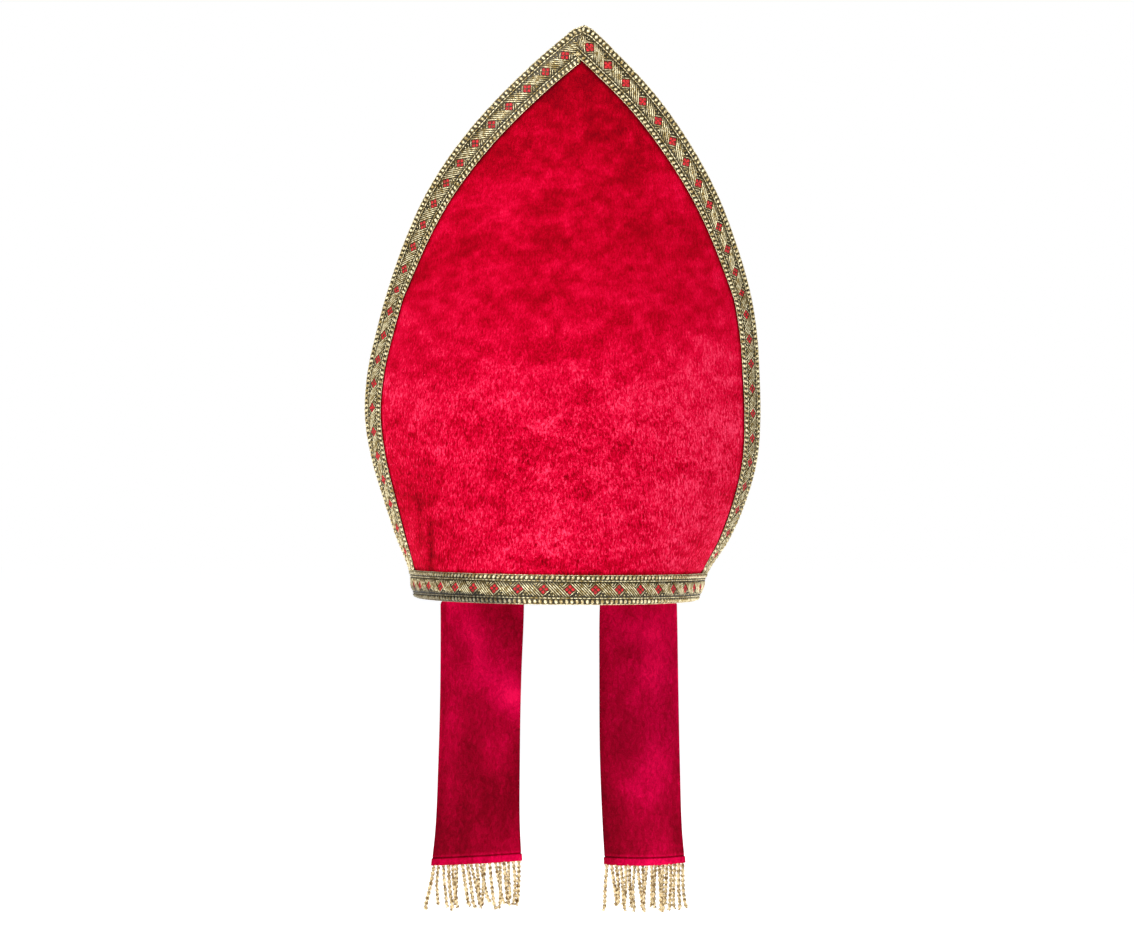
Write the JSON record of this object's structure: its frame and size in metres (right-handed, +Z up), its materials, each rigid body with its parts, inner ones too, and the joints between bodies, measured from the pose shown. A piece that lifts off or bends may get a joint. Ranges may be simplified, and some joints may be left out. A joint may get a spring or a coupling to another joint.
{
  "type": "bishop mitre",
  "caption": "Tall pointed velvet mitre of two curved panels with a folded gusset, patterned gold ribbon on its edges and hem, and two fringed lappets behind.",
  "frame": {"origin": "middle of the head opening, level with the hem, where the hat sits on a head", "axes": "+Z up through the point, -Y to the front of the hat, +X to the right of the hat seen from the front"},
  "size_m": [0.2398, 0.2119, 0.5407],
  "materials": {
    "panel_velvet": "bright red plush velvet with a brushed nap",
    "lappet_velvet": "deep crimson velvet, smoother and shinier",
    "gold_ribbon": "woven metallic gold ribbon with red lozenges",
    "fringe_bullion": "twisted pale gold cord fringe"
  },
  "bodies": {
    "root": {"front_panel": "panel_velvet", "back_panel": "panel_velvet", "gusset": "panel_velvet", "front_trim_left": "gold_ribbon", "front_trim_right": "gold_ribbon", "back_trim_left": "gold_ribbon", "back_trim_right": "gold_ribbon", "hem_trim": "gold_ribbon", "lappet_left": "lappet_velvet", "lappet_right": "lappet_velvet", "fringe_left": "fringe_bullion", "fringe_right": "fringe_bullion"}
  },
  "joints": []
}
